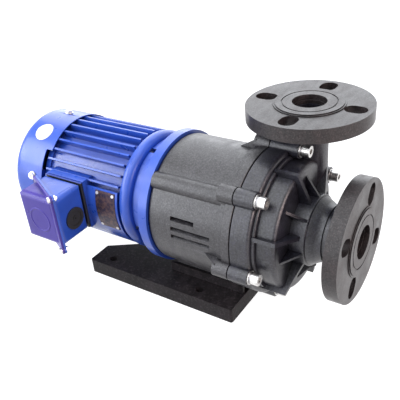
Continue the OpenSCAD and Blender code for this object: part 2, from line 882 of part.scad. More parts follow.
module rear_thrust_ring() {
  color(ceramic_white) ring(thrust_x, thrust_x + thrust_t, bush_r, spindle_r + fit_gap);
}

module casing_liner_ring() {
  color(ceramic_white) ring(mouth_x - liner_l, mouth_x, liner_or(), inlet_r + liner_gap);
}

// Impeller and driven magnets

// Curved vane between the shrouds, swept backwards
module vane_outline() {
  vane_in = eye_r - 2;
  vane_out = impeller_d / 2 - 1;
  arc_r = 0.62 * vane_out;
  intersection() {
    difference() {
      circle(vane_out);
      circle(vane_in);
    }
    translate([arc_r, 0.32 * vane_out]) difference() {
      circle(arc_r + vane_t / 2);
      circle(arc_r - vane_t / 2);
    }
    translate([0, -vane_out]) square(vane_out);
  }
}

module impeller() {
  neck_end_x = mouth_x - side_gap;
  color(carbon_grey) {
    difference() {
      union() {
        drum(back_shroud_x, back_shroud_x + shroud_t, impeller_d / 2);
        drum(capsule_front_x, back_shroud_x + 1, capsule_r - 6);
      }
      drum(capsule_front_x - 1, back_shroud_x + shroud_t + 1, bush_r + fit_gap);
    }
    ring(front_shroud_x, front_shroud_x + shroud_t, impeller_d / 2, eye_r);
    ring(front_shroud_x, neck_end_x - liner_l, eye_r + eye_wall, eye_r);
    about_shaft() rotate([0, 90, 0]) translate([0, 0, back_shroud_x + shroud_t - 0.5])
      for (i = [0 : vane_count - 1]) rotate(i * 360 / vane_count) linear_extrude(vane_w + 1) vane_outline();
  }
}

module impeller_mouth_ring() {
  color(ceramic_white) ring(mouth_x - side_gap - liner_l, mouth_x - side_gap, eye_r + eye_wall, eye_r);
}

// Magnet blocks around the shaft, with a gap between neighbours
module magnet_ring(x0, outer_r, inner_r, gap_angle) {
  pitch = 360 / magnet_count;
  for (i = [0 : magnet_count - 1])
    ring_sector(x0, x0 + magnet_l, outer_r, inner_r, i * pitch, (i + 1) * pitch - gap_angle);
}

module magnet_capsule() {
  color(plastic_black) difference() {
    drum(capsule_x, capsule_front_x, capsule_r);
    drum(capsule_x - 1, capsule_front_x + 1, bush_r + fit_gap);
    ring(magnet_x, magnet_x + magnet_l, capsule_r - capsule_skin, capsule_r - capsule_skin - driven_magnet_t);
  }
}

module driven_magnets() {
  outer_r = capsule_r - capsule_skin - fit_gap;
  color(magnet_grey) magnet_ring(magnet_x, outer_r, outer_r - driven_magnet_t + 2 * fit_gap, 6);
}

module bearing_bush() {
  color(carbon_grey) ring(bush_x, back_shroud_x + shroud_t, bush_r, spindle_r + running_gap);
}

// Drive magnets and yoke on the motor shaft

module drive_magnet_yoke() {
  color(dark_steel) difference() {
    union() {
      drum(yoke_floor_x, yoke_floor_x + yoke_floor_t, yoke_r + yoke_wall);
      drum(yoke_floor_x, capsule_front_x - 2, yoke_r + yoke_wall);
      drum(hub_x, yoke_floor_x + 1, hub_r);
    }
    drum(yoke_floor_x + yoke_floor_t, split_x, yoke_r);
    drum(hub_x - 1, yoke_floor_x + yoke_floor_t + 1, drive_end_r + fit_gap);
    key_slot(fit_gap);
  }
}

// Keyway over the shaft, half in the shaft and half in the hub
module key_slot(gap) {
  about_shaft(90) translate([hub_x + 1, drive_end_r - key_h, -key_w / 2 - gap])
    cube([yoke_floor_x - hub_x + 2, 2 * key_h + gap, key_w + 2 * gap]);
}

module yoke_key() {
  color(steel) about_shaft(90) translate([hub_x + 1, drive_end_r - key_h + fit_gap, -key_w / 2])
    cube([yoke_floor_x - hub_x + 2, 2 * key_h - fit_gap, key_w]);
}

module drive_magnets() {
  color(magnet_grey) magnet_ring(magnet_x, yoke_r - fit_gap, drive_magnet_r, 4);
}

module yoke_end_washer() {
  washer_x = yoke_floor_x + yoke_floor_t;
  color(steel) ring(washer_x, washer_x + end_washer_t, hub_r - 4, end_screw_r + fit_gap);
}

module yoke_end_screw() {
  head_x = yoke_floor_x + yoke_floor_t + end_washer_t;
  color(steel) {
    drum(shaft_end_x - end_screw_depth, head_x + 1, end_screw_r);
    drum(head_x, head_x + end_screw_head_h, end_screw_head_r);
  }
}

// Motor shaft and rotor

module motor_shaft() {
  color(steel) difference() {
    lathe() {
      translate([0, rear_bearing_x - 1]) square([shaft_r, front_bearing_x + bearing_w + 2 - rear_bearing_x]);
      translate([0, rear_bearing_x + bearing_w])
        square([rotor_seat_r, front_bearing_x - rear_bearing_x - bearing_w]);
      translate([0, front_bearing_x]) square([drive_end_r, shaft_end_x - front_bearing_x]);
      translate([0, fan_x - 4]) square([fan_bore_r, rear_bearing_x - fan_x + 5]);
    }
    key_slot(fit_gap);
    drum(shaft_end_x - end_screw_depth - 1, shaft_end_x + 1, end_screw_r + fit_gap);
    ring(fan_x - 2, fan_x - 2 + clip_t + fit_gap, fan_bore_r + 1, fan_bore_r - 1);
  }
}

module rotor_core() {
  color(dark_steel) ring(core_x, core_x + core_l, rotor_r - air_gap, rotor_seat_r + fit_gap);
}

module rotor_end_rings() {
  end_ring_l = 8;
  end_ring_t = 12;
  end_ring_r = rotor_r - 2;
  color(steel) for (x = [core_x - end_ring_l, core_x + core_l])
    ring(x, x + end_ring_l, end_ring_r, end_ring_r - end_ring_t);
}

// Track that the balls of a bearing run in
module ball_track(x) {
  translate([ball_pitch_r, x + bearing_w / 2]) circle(ball_r + running_gap);
}

module bearing_inner_rings() {
  color(steel) for (x = bearing_xs) lathe() difference() {
    translate([shaft_r + press_gap, x]) square([ball_pitch_r - ball_r + race_depth - shaft_r, bearing_w]);
    ball_track(x);
  }
}

module bearing_outer_rings() {
  color(steel) for (x = bearing_xs) lathe() difference() {
    translate([ball_pitch_r + ball_r - race_depth, x])
      square([bearing_or - ball_pitch_r - ball_r + race_depth, bearing_w]);
    ball_track(x);
  }
}

module bearing_balls() {
  color(steel) for (x = bearing_xs, i = [0 : ball_count - 1])
    about_shaft(i * 360 / ball_count) translate([x + bearing_w / 2, ball_pitch_r, 0]) sphere(ball_r);
}

wave_spring_t = 2;

module wave_spring() {
  color(steel) ring(rear_bearing_x - wave_spring_t, rear_bearing_x, bearing_or - 0.5, bearing_or - 4);
}

module shaft_seal() {
  color(rubber_black) ring(seal_x, seal_x + seal_w, seal_r, drive_end_r + running_gap);
}

// Motor housing

module front_end_shield() {
  rim_r = shoulder_w / 2;
  shell_r = stator_d / 2 - 2;
  hub_or = bearing_or + hub_wall;
  color(motor_blue) difference() {
    lathe() {
      translate([shoulder_d / 2 - rim_r, shoulder_x - rim_r]) circle(rim_r);
      translate([0, frame_x]) square([shoulder_d / 2 - rim_r, shoulder_w]);
      translate([0, shoulder_x - 1]) square([groove_d / 2, groove_l + 2]);
      translate([0, ring_x]) square([ring_d / 2, ring_t]);
      translate([0, ring_x]) square([spigot_r, ring_t + spigot_h]);
      translate([0, frame_x - 4]) square([stator_d / 2 - fit_gap, 5]);
    }
    lathe() {
      translate([hub_or, frame_x - 5]) square([shell_r - 4 - hub_or, ring_x - 4 - frame_x]);
      translate([0, frame_x - 5]) square([hub_or + 1, front_bearing_x - frame_x + 3]);
      translate([0, front_bearing_x - 5]) square([bearing_or + press_gap, bearing_w + 5]);
      translate([0, front_bearing_x]) square([drive_end_r + 1, 60]);
      translate([0, seal_x]) square([seal_r + fit_gap, 30]);
      translate([0, ring_x + 2]) square([spigot_r - 8, 30]);
    }
    at_bracket_bolts() rod_at(ring_x - 1, motor_face_x + 1, bracket_bolt_pcd / 2, bolt_hole_r);
    at_shield_screws() {
      rod_at(frame_x - 5, shoulder_x + 1, shield_screw_circle, screw_r + fit_gap);
      rod_at(shoulder_x - shield_screw_sink, motor_face_x + 1, shield_screw_circle, shield_access_r);
    }
  }
}

shield_screw_circle = fin_root_r - 1.7;
shield_screw_phase = 16;
shield_screw_sink = 4;
shield_screw_grip = 7;
shield_boss_r = 3.9;
shield_boss_l = shield_screw_grip + 3;
shield_head_r = 4;
shield_key_r = 0.8 * screw_r;
shield_access_r = shield_head_r + 0.6;

module at_shield_screws() {
  for (i = [0 : 3]) about_shaft(shield_screw_phase + 90 * i) children();
}

module end_shield_screws() {
  color(steel) at_shield_screws() {
    translate([shoulder_x - shield_screw_sink, shield_screw_circle, 0])
      cap_screw(screw_r, shoulder_w - shield_screw_sink + shield_screw_grip, shield_head_r, shield_head_r,
                shield_key_r);
    translate([rear_shield_x, shield_screw_circle, 0]) mirror([1, 0, 0])
      cap_screw(screw_r, rear_shield_t + shield_screw_grip, shield_head_r, shield_head_r, shield_key_r);
  }
}

fin_pitch = (360 - plain_span) / fin_count;
plain_from = fin_first + 5;
plain_to = plain_from + plain_span;

module motor_frame() {
  rough_x0 = frame_rear_x - 1;
  rough_x1 = frame_x + 1;
  color(motor_blue) difference() {
    union() {
      drum(rough_x0, rough_x1, fin_root_r);
      for (i = [0 : fin_count - 1])
        about_shaft(fin_first - i * fin_pitch) bar_along(rough_x0, rough_x1)
          polygon([
            [fin_root_r - 2, -fin_t * 0.8], [frame_d / 2, -fin_t / 2],
            [frame_d / 2, fin_t / 2], [fin_root_r - 2, fin_t * 0.8]
          ]);
      ring_sector(rough_x0, rough_x1, frame_d / 2, fin_root_r - 2, plain_from, plain_to);
      at_shield_screws() {
        rod_at(rough_x0, frame_rear_x + shield_boss_l, shield_screw_circle, shield_boss_r);
        rod_at(frame_x - shield_boss_l, rough_x1, shield_screw_circle, shield_boss_r);
      }
      translate([box_x0, box_back_y + gasket_t, box_z - box_h / 2])
        cube([box_l, seat_proud + fin_h + 8, box_h]);
    }
    drum(frame_rear_x - 3, frame_rear_x, frame_d);
    drum(frame_x, frame_x + 3, frame_d);
    drum(rough_x0, rough_x1, stator_d / 2);
    lead_passage();
    at_shield_screws() {
      rod_at(frame_x - shield_screw_grip - 1, frame_x + 1, shield_screw_circle, screw_r + fit_gap);
      rod_at(frame_rear_x - 1, frame_rear_x + shield_screw_grip + 1, shield_screw_circle, screw_r + fit_gap);
    }
  }
}

// Passage for the leads between the stator and the terminal box
module lead_passage() {
  translate([(box_x0 + box_x1) / 2, -stator_d / 2 + 10, box_z - lead_drop]) rotate([90, 0, 0])
    cylinder(h = box_y, r = lead_hole_r);
}

module stator_core() {
  color(dark_steel) ring(core_x, core_x + core_l, stator_d / 2 - fit_gap, rotor_r);
}

module stator_windings() {
  coil_t = 14;
  coil_l = 15;
  coil_r = (stator_d / 2 + rotor_r) / 2;
  color(copper) lathe() for (x = [core_x - coil_l, core_x + core_l])
    translate([coil_r - coil_t / 2, x]) round_rect([coil_t, coil_l], 4);
}

module rear_end_shield() {
  hub_or = bearing_or + hub_wall;
  lug_r = cover_inner_r - cover_gap;
  lug_l = rear_shield_x - cover_screw_x + lug_w / 2 + 1;
  color(motor_blue) difference() {
    union() {
      drum(rear_shield_x, frame_rear_x, fin_root_r + 2);
      drum(frame_rear_x - 1, frame_rear_x + rear_spigot_l, stator_d / 2 - fit_gap);
      drum(rear_shield_x, rear_bearing_x + bearing_w, hub_or);
      at_cover_screws() translate([cover_screw_x - lug_w / 2, 0, -lug_w / 2])
        intersection() {
          translate([0, lug_r - lug_depth, 0]) cube([lug_l, lug_depth, lug_w]);
          translate([-1, 0, lug_w / 2]) rotate([0, 90, 0]) cylinder(h = lug_l + 2, r = lug_r);
        }
    }
    ring(frame_rear_x, frame_rear_x + rear_spigot_l + 1, stator_d / 2 - rear_spigot_wall, hub_or);
    drum(rear_bearing_x - wave_spring_t, rear_bearing_x + bearing_w + 1, bearing_or + press_gap);
    drum(rear_shield_x - 1, rear_bearing_x + 1, shaft_r + 1);
    at_shield_screws() rod_at(rear_shield_x - 1, frame_rear_x + 1, shield_screw_circle, screw_r + fit_gap);
    at_cover_screws() cover_screw_hole();
  }
}

module at_cover_screws() {
  for (a = cover_screw_angles) about_shaft(a) children();
}

module cover_screw_hole() {
  translate([cover_screw_x, cover_r - cover_wall - cover_screw_l - 1, 0]) rotate([-90, 0, 0])
    cylinder(h = cover_wall + cover_screw_l + 3, r = screw_r + fit_gap);
}

cover_cut_from = 135;
cover_cut_to = 225;
cover_cut_l = 10;

module fan_cover() {
  inner_corner = cover_corner - cover_wall;
  color(motor_blue) difference() {
    lathe() difference() {
      cover_profile(cover_r, cover_x, cover_corner);
      cover_profile(cover_inner_r, cover_x + cover_wall, inner_corner);
    }
    ring_sector(cover_x + cover_l - cover_cut_l, cover_x + cover_l + 1, cover_r + 1, cover_inner_r - 1,
                cover_cut_from, cover_cut_to);
    fan_grille();
    at_cover_screws() cover_screw_hole();
  }
}

// Half section of the cover: open at the front, with a rounded rear corner
module cover_profile(r, rear_x, corner) {
  front_x = cover_x + cover_l;
  translate([0, rear_x + corner]) square([r, front_x - rear_x - corner + (r < cover_r ? 1 : 0)]);
  translate([0, rear_x]) square([r - corner, corner + 1]);
  translate([r - corner, rear_x + corner]) circle(corner);
}

grille_rings = [18, 27, 36, 45, 54];
grille_slot_w = 5;
grille_bars = 6;

module fan_grille() {
  bar_angle = 12;
  pitch = 360 / grille_bars;
  for (r = grille_rings, i = [0 : grille_bars - 1])
    ring_sector(cover_x - 1, cover_x + cover_wall + 1, r + grille_slot_w / 2, r - grille_slot_w / 2,
                i * pitch + bar_angle / 2, (i + 1) * pitch - bar_angle / 2);
}

module fan_cover_screws() {
  color(steel) at_cover_screws() translate([cover_screw_x, cover_r, 0]) rotate([-90, 0, 0]) difference() {
    union() {
      translate([0, 0, -cover_wall - cover_screw_l])
        cylinder(h = cover_wall + cover_screw_l + cover_screw_rim_t, r = screw_r);
      cylinder(h = cover_screw_rim_t, r = cover_screw_rim_r);
      cylinder(h = cover_screw_head_h, r = cover_screw_head_r);
    }
    translate([0, 0, cover_screw_head_h - cross_depth]) linear_extrude(cross_depth + 1)
      for (a = [0, 90]) rotate(a) square([cross_l, cross_w], center = true);
  }
}

module round_label() {
  color("white") intersection() {
    ring(label_x - label_r - 1, label_x + label_r + 1, cover_r + label_t, cover_r);
    about_shaft(label_angle) translate([label_x, cover_r - label_r, 0]) rotate([-90, 0, 0])
      cylinder(h = 2 * label_r, r = label_r);
  }
}

clip_t = 1.2;

module fan_clip() {
  color(dark_steel) ring(fan_x - 2, fan_x - 2 + clip_t, fan_bore_r + 2.5, fan_bore_r - 1 + fit_gap);
}

module cooling_fan() {
  blade_count = 8;
  blade_t = 2.5;
  disc_t = 3;
  color(plastic_black) difference() {
    union() {
      drum(fan_x, fan_x + fan_l, fan_hub_r);
      drum(fan_x + fan_l - disc_t, fan_x + fan_l, fan_r);
      for (i = [0 : blade_count - 1])
        web(i * 360 / blade_count, blade_t, [
          [fan_x + 3, fan_hub_r - 2], [fan_x + 3, fan_r - 8], [fan_x + 8, fan_r],
          [fan_x + fan_l - 1, fan_r], [fan_x + fan_l - 1, fan_hub_r - 2]
        ]);
    }
    drum(fan_x - 1, fan_x + fan_l + 1, fan_bore_r + press_gap);
  }
}

// Terminal box

// Rounded block with the box's outer shape, made smaller all round by a wall
module box_block(inset) {
  r = box_r - inset;
  size = [box_l - 2 * inset, box_depth - 2 * inset, box_h - 2 * inset];
  translate([box_x0 + inset, box_front_y + inset, box_z - box_h / 2 + inset]) intersection() {
    linear_extrude(size.z) round_rect([size.x, size.y], r);
    translate([0, size.y, 0]) rotate([90, 0, 0]) linear_extrude(size.y) round_rect([size.x, size.z], r);
    rotate([90, 0, 90]) linear_extrude(size.x) round_rect([size.y, size.z], r);
  }
}

// Frame of the seam: its +X runs along the seam from the box's left side to its front corner
module on_seam() {
  translate([box_x0, seam_side_y, box_z]) rotate([0, 0, seam_angle]) children();
}

// Everything on one side of the seam plane: 1 is the motor's side, -1 the front
module seam_side(side) {
  on_seam() translate([-100, side > 0 ? 0 : -200, -100]) cube([300, 200, 200]);
}

// One lip along the seam, on the given side of the seam plane
module seam_lip(side) {
  lip_size = [seam_run + lip_h, box_h + 2 * lip_h];
  on_seam() translate([0, side > 0 ? lip_t : 0, 0]) rotate([90, 0, 0]) linear_extrude(lip_t) {
    translate([-lip_h / 2, -lip_size.y / 2]) round_rect(lip_size, 5);
    for (s = [-1, 1]) translate([seam_screw_u, s * seam_screw_v]) circle(seam_lug_r);
  }
}

seam_lug_r = 5;
seam_screw_u = seam_run - 1;
seam_screw_v = box_h / 2 + 3;
seam_screw_r = 1.8;
seam_head_r = 3.6;
seam_head_h = 2.6;
seam_nut_r = 3.4;
seam_nut_h = 2.4;

module seam_screw_holes() {
  on_seam() for (s = [-1, 1]) translate([seam_screw_u, 0, s * seam_screw_v]) rotate([90, 0, 0])
    cylinder(h = 40, r = seam_screw_r + fit_gap, center = true);
}

// Half of the box on one side of the seam
module box_half(side) {
  difference() {
    union() {
      intersection() {
        box_block(0);
        seam_side(side);
      }
      seam_lip(side);
    }
    box_block(box_wall);
    seam_screw_holes();
  }
}

module terminal_box_cover() {
  color(motor_blue) box_half(-1);
}

module terminal_box_base() {
  color(motor_blue) difference() {
    box_half(1);
    lead_passage();
    at_cable_entry() cylinder(h = 20, r = plug_hub_r + fit_gap, center = true);
  }
}

// Places children on the cable entry's axis, z = 0 on the outer face of the box
module at_cable_entry() {
  translate([box_x1, plug_y, box_z - plug_drop]) rotate([0, 90, 0]) children();
}

module cable_entry_plug() {
  color(rubber_black) at_cable_entry() difference() {
    union() {
      cylinder(h = plug_head_t, r = plug_r);
      translate([0, 0, -box_wall - plug_lip_t]) cylinder(h = box_wall + plug_lip_t + 1, r = plug_hub_r);
      translate([0, 0, -box_wall - plug_lip_t]) cylinder(h = plug_lip_t, r = plug_lip_r);
    }
    translate([0, 0, plug_head_t - 1]) difference() {
      cylinder(h = 2, r = plug_r - 4);
      translate([0, 0, -1]) cylinder(h = 4, r = plug_nub_r);
    }
    translate([0, 0, -1]) cylinder(h = 4, r = plug_pilot_r);
  }
}

module terminal_box_gasket() {
  color(rubber_black) difference() {
    translate([box_x0 + 1, box_back_y, box_z - box_h / 2 + 1]) cube([box_l - 2, gasket_t, box_h - 2]);
    lead_passage();
  }
}

module terminal_box_screws() {
  color(steel) on_seam() for (s = [-1, 1]) translate([seam_screw_u, 0, s * seam_screw_v]) {
    translate([0, lip_t + 4, 0]) rotate([90, 0, 0]) cylinder(h = 2 * lip_t + 5, r = seam_screw_r);
    translate([0, -lip_t, 0]) rotate([90, 0, 0]) cylinder(h = seam_head_h, r = seam_head_r);
    translate([0, lip_t + seam_nut_h, 0]) rotate([90, 0, 0])
      cylinder(h = seam_nut_h, r = seam_nut_r, $fn = 6);
  }
}

board_l = 36;
board_h = 24;
board_t = 10;
board_shift = 2;
stud_r = 2;
stud_pitch = 11;
stud_nut_r = 3.6;
stud_nut_h = 3;

module terminal_board() {
  color(plastic_black) difference() {
    translate([(box_x0 + box_x1 - board_l) / 2 + board_shift, box_back_y - box_wall - board_t, box_z - 4])
      cube([board_l, board_t, board_h]);
    at_studs() rotate([90, 0, 0]) cylinder(h = 30, r = stud_r + fit_gap, center = true);
  }
}

// Places children at each stud, on the front face of the terminal board
module at_studs() {
  for (x = [-1, 0, 1], z = [-0.5, 0.5])
    translate([
      (box_x0 + box_x1) / 2 + board_shift + x * stud_pitch, box_back_y - box_wall - board_t,
      box_z - 4 + board_h / 2 + z * stud_pitch
    ]) children();
}

module terminal_studs() {
  color(brass) at_studs() {
    translate([0, board_t - 1, 0]) rotate([90, 0, 0]) cylinder(h = board_t + 7, r = stud_r);
    rotate([90, 0, 0]) cylinder(h = stud_nut_h, r = stud_nut_r, $fn = 6);
  }
}

// Nameplate

plate_room = frame_x - box_x1;
plate_l = 0.62 * plate_room;
plate_from = 160;
plate_to = 199;
plate_t = 0.7;
plate_r = frame_d / 2 + fit_gap;
plate_x0 = frame_x - 0.07 * plate_room - plate_l;
rivet_r = 1.2;
rivet_inset = 3;
rivet_inset_angle = 2.5;
rivet_head_r = 2;
rivet_head_h = 0.8;

module at_rivets() {
  for (x = [plate_x0 + rivet_inset, plate_x0 + plate_l - rivet_inset],
       a = [plate_from + rivet_inset_angle, plate_to - rivet_inset_angle])
    about_shaft(a) translate([x, plate_r, 0]) rotate([-90, 0, 0]) children();
}

module nameplate() {
  color(bronze_plate) difference() {
    ring_sector(plate_x0, plate_x0 + plate_l, plate_r + plate_t, plate_r, plate_from, plate_to);
    at_rivets() cylinder(h = 4 * plate_t, r = rivet_r + fit_gap, center = true);
  }
}

module nameplate_rivets() {
  color(steel) at_rivets() {
    cylinder(h = plate_t + rivet_head_h / 2, r = rivet_r);
    translate([0, 0, plate_t + fit_gap]) cylinder(h = rivet_head_h, r = rivet_head_r);
  }
}

base_plate();
base_bolts();
bracket();
bracket_bolts();
front_casing();
suction_flange();
discharge_flange();
casing_bolts();
casing_washers();
casing_spring_washers();
drain_plug();
drain_gasket();
casing_o_ring();
rear_casing();
spindle();
rear_thrust_ring();
casing_liner_ring();
impeller();
magnet_capsule();
driven_magnets();
bearing_bush();
impeller_mouth_ring();
drive_magnet_yoke();
drive_magnets();
yoke_key();
yoke_end_washer();
yoke_end_screw();
motor_shaft();
rotor_core();
rotor_end_rings();
bearing_inner_rings();
bearing_balls();
bearing_outer_rings();
wave_spring();
shaft_seal();
front_end_shield();
end_shield_screws();
motor_frame();
stator_core();
stator_windings();
rear_end_shield();
cooling_fan();
fan_clip();
fan_cover();
fan_cover_screws();
round_label();
terminal_box_gasket();
terminal_box_base();
terminal_box_cover();
terminal_box_screws();
terminal_board();
terminal_studs();
cable_entry_plug();
nameplate();
nameplate_rivets();
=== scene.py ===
"""Looks of the magnetic drive pump: finishes, softened edges, light, floor and camera."""

import json
import math

import bpy
from mathutils import Matrix, Vector


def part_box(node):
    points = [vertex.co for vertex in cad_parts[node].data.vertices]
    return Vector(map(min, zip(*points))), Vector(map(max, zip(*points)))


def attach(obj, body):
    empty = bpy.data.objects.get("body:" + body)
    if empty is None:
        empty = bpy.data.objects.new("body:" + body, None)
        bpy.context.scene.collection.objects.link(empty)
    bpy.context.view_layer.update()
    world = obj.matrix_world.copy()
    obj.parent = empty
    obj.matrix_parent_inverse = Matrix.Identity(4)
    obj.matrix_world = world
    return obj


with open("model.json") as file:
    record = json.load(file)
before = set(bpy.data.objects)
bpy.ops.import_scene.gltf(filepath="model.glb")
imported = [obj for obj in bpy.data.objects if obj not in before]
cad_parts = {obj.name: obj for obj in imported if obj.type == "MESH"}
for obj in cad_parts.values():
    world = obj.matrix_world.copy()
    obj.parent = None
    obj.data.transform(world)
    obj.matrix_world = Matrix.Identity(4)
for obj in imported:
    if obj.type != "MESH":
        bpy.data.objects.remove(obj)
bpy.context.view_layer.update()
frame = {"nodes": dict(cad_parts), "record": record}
nodes = frame["nodes"]
scene = bpy.context.scene
scene.view_settings.view_transform = "Standard"

# Camera, from the photograph: place in metres and angles in the part's frame, picture distances in pixels
PHOTO_SIZE = 400
CAMERA_PLACE = Vector((0.4166, -0.5098, 0.4910))
CAMERA_AZIMUTH = math.radians(35.906)
CAMERA_ELEVATION = math.radians(31.001)
CAMERA_ROLL = math.radians(-5.537)
FOCAL_PIXELS = 593.4
PICTURE_CENTRE = (202.05, 200.79)
SENSOR = 36.0
NEAR_CLIP = 0.01


def make_camera():
    back = Vector((
        math.sin(CAMERA_AZIMUTH) * math.cos(CAMERA_ELEVATION),
        -math.cos(CAMERA_AZIMUTH) * math.cos(CAMERA_ELEVATION),
        math.sin(CAMERA_ELEVATION),
    ))
    level_right = Vector((math.cos(CAMERA_AZIMUTH), math.sin(CAMERA_AZIMUTH), 0))
    level_up = back.cross(level_right)
    right = level_right * math.cos(CAMERA_ROLL) + level_up * math.sin(CAMERA_ROLL)
    up = level_up * math.cos(CAMERA_ROLL) - level_right * math.sin(CAMERA_ROLL)
    turn = Matrix((right, up, back)).transposed().to_4x4()
    data = bpy.data.cameras.new("photo_camera")
    data.sensor_width = SENSOR
    data.lens = SENSOR * FOCAL_PIXELS / PHOTO_SIZE
    data.shift_x = (PHOTO_SIZE / 2 - PICTURE_CENTRE[0]) / PHOTO_SIZE
    data.shift_y = (PICTURE_CENTRE[1] - PHOTO_SIZE / 2) / PHOTO_SIZE
    data.clip_start = NEAR_CLIP
    camera = bpy.data.objects.new("photo_camera", data)
    camera.matrix_world = Matrix.Translation(CAMERA_PLACE) @ turn
    scene.collection.objects.link(camera)
    scene.camera = camera


# Light: soft boxes around the pump, aimed at its middle
AIM = Vector((0.03, 0.0, 0.12))
COOL = (0.91, 0.94, 1.0)
WARM = (1.0, 0.78, 0.74)
LIGHTS = {
    # name: place and size across in metres, power in watts, colour
    "sky_behind": (Vector((-0.75, 1.45, 1.20)), 2.6, 50.0, COOL),
    "sky_above": (Vector((-0.15, -0.35, 1.5)), 1.4, 12.0, COOL),
    "window_left": (Vector((-1.35, -0.8, 0.85)), 0.8, 14.0, COOL),
    "window_near": (Vector((-0.60, -1.50, 0.85)), 2.2, 28.0, COOL),
    "ground_left": (Vector((-0.90, -1.10, 0.22)), 0.7, 4.0, COOL),
    "bounce_right": (Vector((1.35, -0.25, 0.60)), 0.9, 16.0, WARM),
}


def make_lights():
    for name, (place, size, power, colour) in LIGHTS.items():
        data = bpy.data.lights.new(name, "AREA")
        data.size = size
        data.energy = power
        data.color = colour
        lamp = bpy.data.objects.new(name, data)
        lamp.location = place
        lamp.rotation_euler = (AIM - place).to_track_quat("-Z", "Y").to_euler()
        scene.collection.objects.link(lamp)


# Sockets of Blender's Mix node where it mixes colours
MIX_SHARE = 0
MIX_FIRST = 6
MIX_SECOND = 7
MIX_RESULT = 2


def plug(tree, value, socket):
    """Gives a node's input what another node puts out, or a plain number, place or colour."""
    if isinstance(value, bpy.types.NodeSocket):
        tree.links.new(value, socket)
    elif socket.type == "RGBA":
        socket.default_value = (*value, 1.0)
    else:
        socket.default_value = value


def mix_colours(tree, share, first, second):
    """Colour between first and second."""
    node = tree.nodes.new("ShaderNodeMix")
    node.data_type = "RGBA"
    plug(tree, share, node.inputs[MIX_SHARE])
    plug(tree, first, node.inputs[MIX_FIRST])
    plug(tree, second, node.inputs[MIX_SECOND])
    return node.outputs[MIX_RESULT]


def combine(tree, operation, first, second):
    """Number worked out from two others."""
    node = tree.nodes.new("ShaderNodeMath")
    node.operation = operation
    plug(tree, first, node.inputs[0])
    plug(tree, second, node.inputs[1])
    return node.outputs[0]


def seen_or_mirrored(tree):
    """1 where the camera sees this straight, through something or mirrored, else 0."""
    rays = tree.nodes.new("ShaderNodeLightPath").outputs
    straight_or_through = combine(tree, "MAXIMUM", rays["Is Camera Ray"], rays["Is Transmission Ray"])
    return combine(tree, "MAXIMUM", straight_or_through, rays["Is Glossy Ray"])


# Surroundings: the light that they throw on the pump from straight down, the horizon and straight up. Where
# they are seen or mirrored, they are white
WHITE = (1.0, 1.0, 1.0)
ROOM_BELOW = (0.05, 0.04, 0.037)
ROOM_LEVEL = (0.16, 0.15, 0.155)
ROOM_ABOVE = (0.62, 0.66, 0.72)
STRAIGHT_DOWN = -1.0
HORIZON = 0.5


def make_world():
    world = bpy.data.worlds.new("studio")
    scene.world = world
    world.use_nodes = True
    tree = world.node_tree
    direction = tree.nodes.new("ShaderNodeTexCoord")
    height = tree.nodes.new("ShaderNodeSeparateXYZ")
    tree.links.new(direction.outputs["Generated"], height.inputs[0])
    share = tree.nodes.new("ShaderNodeMapRange")
    share.inputs["From Min"].default_value = STRAIGHT_DOWN
    tree.links.new(height.outputs["Z"], share.inputs["Value"])
    room = tree.nodes.new("ShaderNodeValToRGB")
    room.color_ramp.elements[0].color = (*ROOM_BELOW, 1.0)
    room.color_ramp.elements[1].color = (*ROOM_ABOVE, 1.0)
    room.color_ramp.elements.new(HORIZON).color = (*ROOM_LEVEL, 1.0)
    tree.links.new(share.outputs["Result"], room.inputs["Fac"])
    colour = mix_colours(tree, seen_or_mirrored(tree), room.outputs["Color"], WHITE)
    tree.links.new(colour, tree.nodes["Background"].inputs["Color"])


# Floor: half its width in metres, its colours and the glow that makes it white
FLOOR_HALF = 5.0
FLOOR_SEEN = (0.30, 0.30, 0.30)
FLOOR_BOUNCE = (0.20, 0.165, 0.155)
FLOOR_GLOW = 0.92
FLOOR_ROUGHNESS = 0.9


def make_floor():
    """White where it is seen or mirrored, with the pump's shadow; brown for the light it throws back."""
    mesh = bpy.data.meshes.new("floor")
    corners = [(-1, -1), (1, -1), (1, 1), (-1, 1)]
    mesh.from_pydata([(x * FLOOR_HALF, y * FLOOR_HALF, 0) for x, y in corners], [], [(0, 1, 2, 3)])
    floor = bpy.data.objects.new("floor", mesh)
    scene.collection.objects.link(floor)
    material = bpy.data.materials.new("floor")
    material.use_nodes = True
    tree = material.node_tree
    seen = seen_or_mirrored(tree)
    inputs = tree.nodes["Principled BSDF"].inputs
    plug(tree, FLOOR_ROUGHNESS, inputs["Roughness"])
    plug(tree, 0.0, inputs["Specular IOR Level"])
    plug(tree, mix_colours(tree, seen, FLOOR_BOUNCE, FLOOR_SEEN), inputs["Base Color"])
    plug(tree, WHITE, inputs["Emission Color"])
    plug(tree, combine(tree, "MULTIPLY", seen, FLOOR_GLOW), inputs["Emission Strength"])
    mesh.materials.append(material)


# Noise runs from 0 to 1. A patch of it starts at the first value and is full at the second
PATCH = (0.3, 0.7)
CLOUD_DETAIL = 3.0
GRAIN_DETAIL = 2.0
CREVICE_SAMPLES = 8


